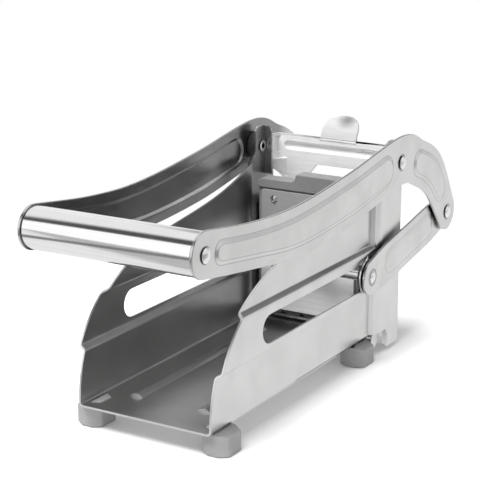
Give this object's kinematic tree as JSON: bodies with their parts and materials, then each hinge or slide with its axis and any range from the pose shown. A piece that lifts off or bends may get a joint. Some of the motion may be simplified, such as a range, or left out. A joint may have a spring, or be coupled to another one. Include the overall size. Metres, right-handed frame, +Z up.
{
  "type": "french fry cutter",
  "caption": "Lever-operated french fry cutter: folded sheet-metal tray with towers, sliding studded pusher, lift-out knife cartridge, forked handle and side links.",
  "frame": {"origin": "on the table, under the middle of the tool's overall box", "axes": "+Y from the handle towards the knives and the link ends, +Z up, +X to the tool's right seen from the handle"},
  "size_m": [0.1036, 0.3026, 0.1324],
  "materials": {
    "stainless_sheet": "satin stainless sheet with a fine grain",
    "polished_tube": "polished stainless tube",
    "rivet_steel": "bright turned and headed steel",
    "knife_steel": "ground blade steel",
    "grey_rubber": "matt light grey rubber",
    "grey_plastic": "matt mid grey moulded plastic",
    "black_nylon": "matt black nylon"
  },
  "bodies": {
    "base": {"body_shell": "stainless_sheet", "rear_sill": "stainless_sheet", "foot_front_left": "grey_rubber", "foot_front_right": "grey_rubber", "foot_rear_left": "grey_rubber", "foot_rear_right": "grey_rubber", "pivot_rivet_left": "rivet_steel", "pivot_rivet_right": "rivet_steel", "pivot_bush_left": "black_nylon", "pivot_bush_right": "black_nylon"},
    "lever": {"arm_left": "stainless_sheet", "arm_right": "stainless_sheet", "handle_tube": "polished_tube", "handle_tie_rod": "rivet_steel", "tube_plug_left": "grey_plastic", "tube_plug_right": "grey_plastic", "hook_rivet_left": "rivet_steel", "hook_rivet_right": "rivet_steel", "hook_washer_left": "black_nylon", "hook_washer_right": "black_nylon"},
    "links": {"link_left": "stainless_sheet", "link_right": "stainless_sheet", "eye_rivet_left": "rivet_steel", "eye_rivet_right": "rivet_steel"},
    "pusher": {"pusher_plate": "stainless_sheet", "pusher_head": "grey_plastic", "pusher_rivets": "rivet_steel", "axle_bracket": "stainless_sheet", "pusher_axle": "rivet_steel", "slot_bush_left": "black_nylon", "slot_bush_right": "black_nylon", "axle_washer_left": "rivet_steel", "axle_washer_right": "rivet_steel", "axle_spacer_left": "black_nylon", "axle_spacer_right": "black_nylon"},
    "cartridge": {"cartridge_plate": "stainless_sheet", "knife_box": "stainless_sheet", "knives_upright": "knife_steel", "knives_level": "knife_steel"}
  },
  "joints": [
    {"name": "lever_lift", "type": "hinge", "parent": "base", "child": "lever", "pos_m": [0, 0.0718, 0.1147], "axis": [-1, 0, 0], "range_deg": [0, 86]},
    {"name": "pusher_slide", "type": "slide", "parent": "base", "child": "pusher", "axis": [0, -1, 0], "range_m": [0, 0.1082]},
    {"name": "link_swing", "type": "hinge", "parent": "lever", "child": "links", "pos_m": [0, 0.14, 0.0711], "axis": [1, 0, 0], "range_deg": [0, 70.5]},
    {"name": "cartridge_lift", "type": "slide", "parent": "base", "child": "cartridge", "axis": [0, 0, 1], "range_m": [0, 0.1]}
  ],
  "couplings": [
    {"joint": "pusher_slide", "follows": "lever_lift", "m_per_rad": 0.07201},
    {"joint": "link_swing", "follows": "lever_lift", "ratio": 0.8143}
  ]
}
